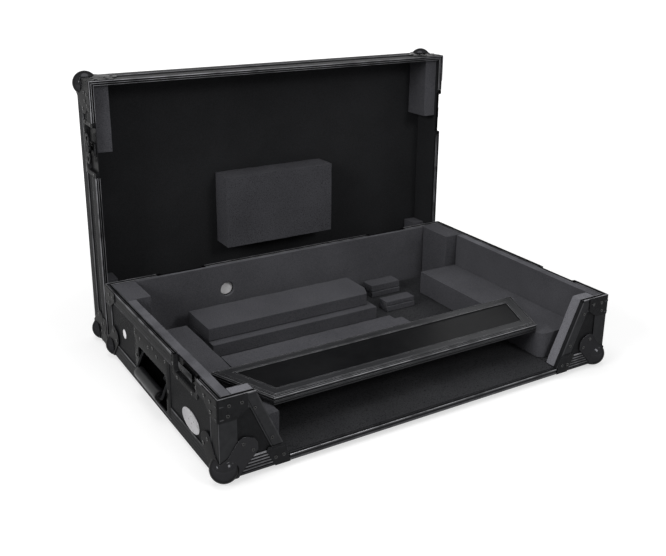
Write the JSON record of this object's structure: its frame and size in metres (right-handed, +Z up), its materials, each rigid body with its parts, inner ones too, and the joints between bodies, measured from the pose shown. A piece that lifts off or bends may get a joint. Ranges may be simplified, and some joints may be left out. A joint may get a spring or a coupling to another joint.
{
  "type": "dj coffin case",
  "caption": "Low black flight case with a V-shaped front cut, foam blocks, loose front panel, sprung side handles and a lift-off lid standing behind it.",
  "frame": {"origin": "middle of the footprint of base and lid together, on the surface that the ball corners stand on", "axes": "+X to the case's right seen from its front, +Y from the open front to the rear, +Z up"},
  "size_m": [0.83, 0.6318, 0.541],
  "materials": {
    "laminate": "black laminated plywood, satin, fine grain",
    "aluminium": "black anodised ribbed extrusion, satin",
    "steel": "black coated pressed steel, satin",
    "foam": "charcoal closed-cell foam, matt",
    "pad": "dark charcoal open-cell foam, matt",
    "carpet": "black felt lining, matt",
    "grip": "black rubber grip on a coated steel bail",
    "plate": "plain pale plate, satin"
  },
  "bodies": {
    "base": {"floor_board": "laminate", "wall_left": "laminate", "wall_right": "laminate", "wall_rear": "laminate", "cheek_left": "laminate", "cheek_right": "laminate", "base_frame": "aluminium", "slant_strip_left": "aluminium", "slant_strip_right": "aluminium", "foot_bracket_left": "steel", "foot_bracket_right": "steel", "corner_plate_front_left": "steel", "corner_plate_front_right": "steel", "corner_plate_rear_left": "steel", "corner_plate_rear_right": "steel", "ball_corner_front_left": "steel", "ball_corner_front_right": "steel", "ball_corner_rear_left": "steel", "ball_corner_rear_right": "steel", "handle_dish_left": "steel", "handle_dish_right": "steel", "latch_keeper_left": "steel", "latch_keeper_right": "steel", "side_foam_left": "foam", "side_foam_right": "foam", "corner_foam_left": "foam", "corner_foam_right": "foam", "deck_foam_left": "foam", "deck_foam_right": "foam", "rear_foam": "foam", "support_foam_left": "foam", "strip_foam_front": "foam", "long_block_foam": "foam", "small_block_front": "foam", "small_block_rear": "foam", "floor_mat": "carpet", "badge_plate": "plate"},
    "front_panel": {"panel_frame": "aluminium", "panel_board": "laminate"},
    "lid": {"lid_board": "laminate", "lid_walls": "laminate", "lid_frame": "aluminium", "lid_ball_front_left": "steel", "lid_ball_front_right": "steel", "lid_ball_rear_left": "steel", "lid_ball_rear_right": "steel", "latch_dish_left": "steel", "latch_dish_right": "steel", "lid_corner_foam_front_left": "foam", "lid_corner_foam_front_right": "foam", "lid_corner_foam_rear_left": "foam", "lid_corner_foam_rear_right": "foam", "lid_pad_foam": "pad"},
    "handle_left": {"handle_left": "grip"},
    "handle_right": {"handle_right": "grip"},
    "latch_wing_left": {"latch_wing_left": "steel"},
    "latch_wing_right": {"latch_wing_right": "steel"},
    "latch_hook_left": {"latch_hook_left": "steel"},
    "latch_hook_right": {"latch_hook_right": "steel"}
  },
  "joints": [
    {"name": "lid_lift", "type": "slide", "parent": "base", "child": "lid", "axis": [0, 0, 1], "range_m": [0, 0.35]},
    {"name": "front_panel_lift", "type": "slide", "parent": "base", "child": "front_panel", "axis": [0, 0, 1], "range_m": [0, 0.12]},
    {"name": "handle_left_swing", "type": "hinge", "parent": "base", "child": "handle_left", "pos_m": [-0.392, -0.0254, 0.0765], "axis": [0, 1, 0], "range_deg": [0, 67], "stiffness_Nm_per_rad": 0.4},
    {"name": "latch_wing_left_turn", "type": "hinge", "parent": "lid", "child": "latch_wing_left", "pos_m": [-0.4, 0.2534, 0.4035], "axis": [1, 0, 0], "range_deg": [0, 180]},
    {"name": "latch_hook_left_slide", "type": "slide", "parent": "lid", "child": "latch_hook_left", "axis": [0, -1, 0], "range_m": [0, 0.008]},
    {"name": "handle_right_swing", "type": "hinge", "parent": "base", "child": "handle_right", "pos_m": [0.392, -0.0254, 0.0765], "axis": [0, -1, 0], "range_deg": [0, 67], "stiffness_Nm_per_rad": 0.4},
    {"name": "latch_wing_right_turn", "type": "hinge", "parent": "lid", "child": "latch_wing_right", "pos_m": [0.4, 0.2534, 0.4035], "axis": [1, 0, 0], "range_deg": [0, 180]},
    {"name": "latch_hook_right_slide", "type": "slide", "parent": "lid", "child": "latch_hook_right", "axis": [0, -1, 0], "range_m": [0, 0.008]}
  ],
  "couplings": [
    {"joint": "latch_hook_left_slide", "follows": "latch_wing_left_turn", "m_per_rad": 0.00254},
    {"joint": "latch_hook_right_slide", "follows": "latch_wing_right_turn", "m_per_rad": 0.00254}
  ]
}
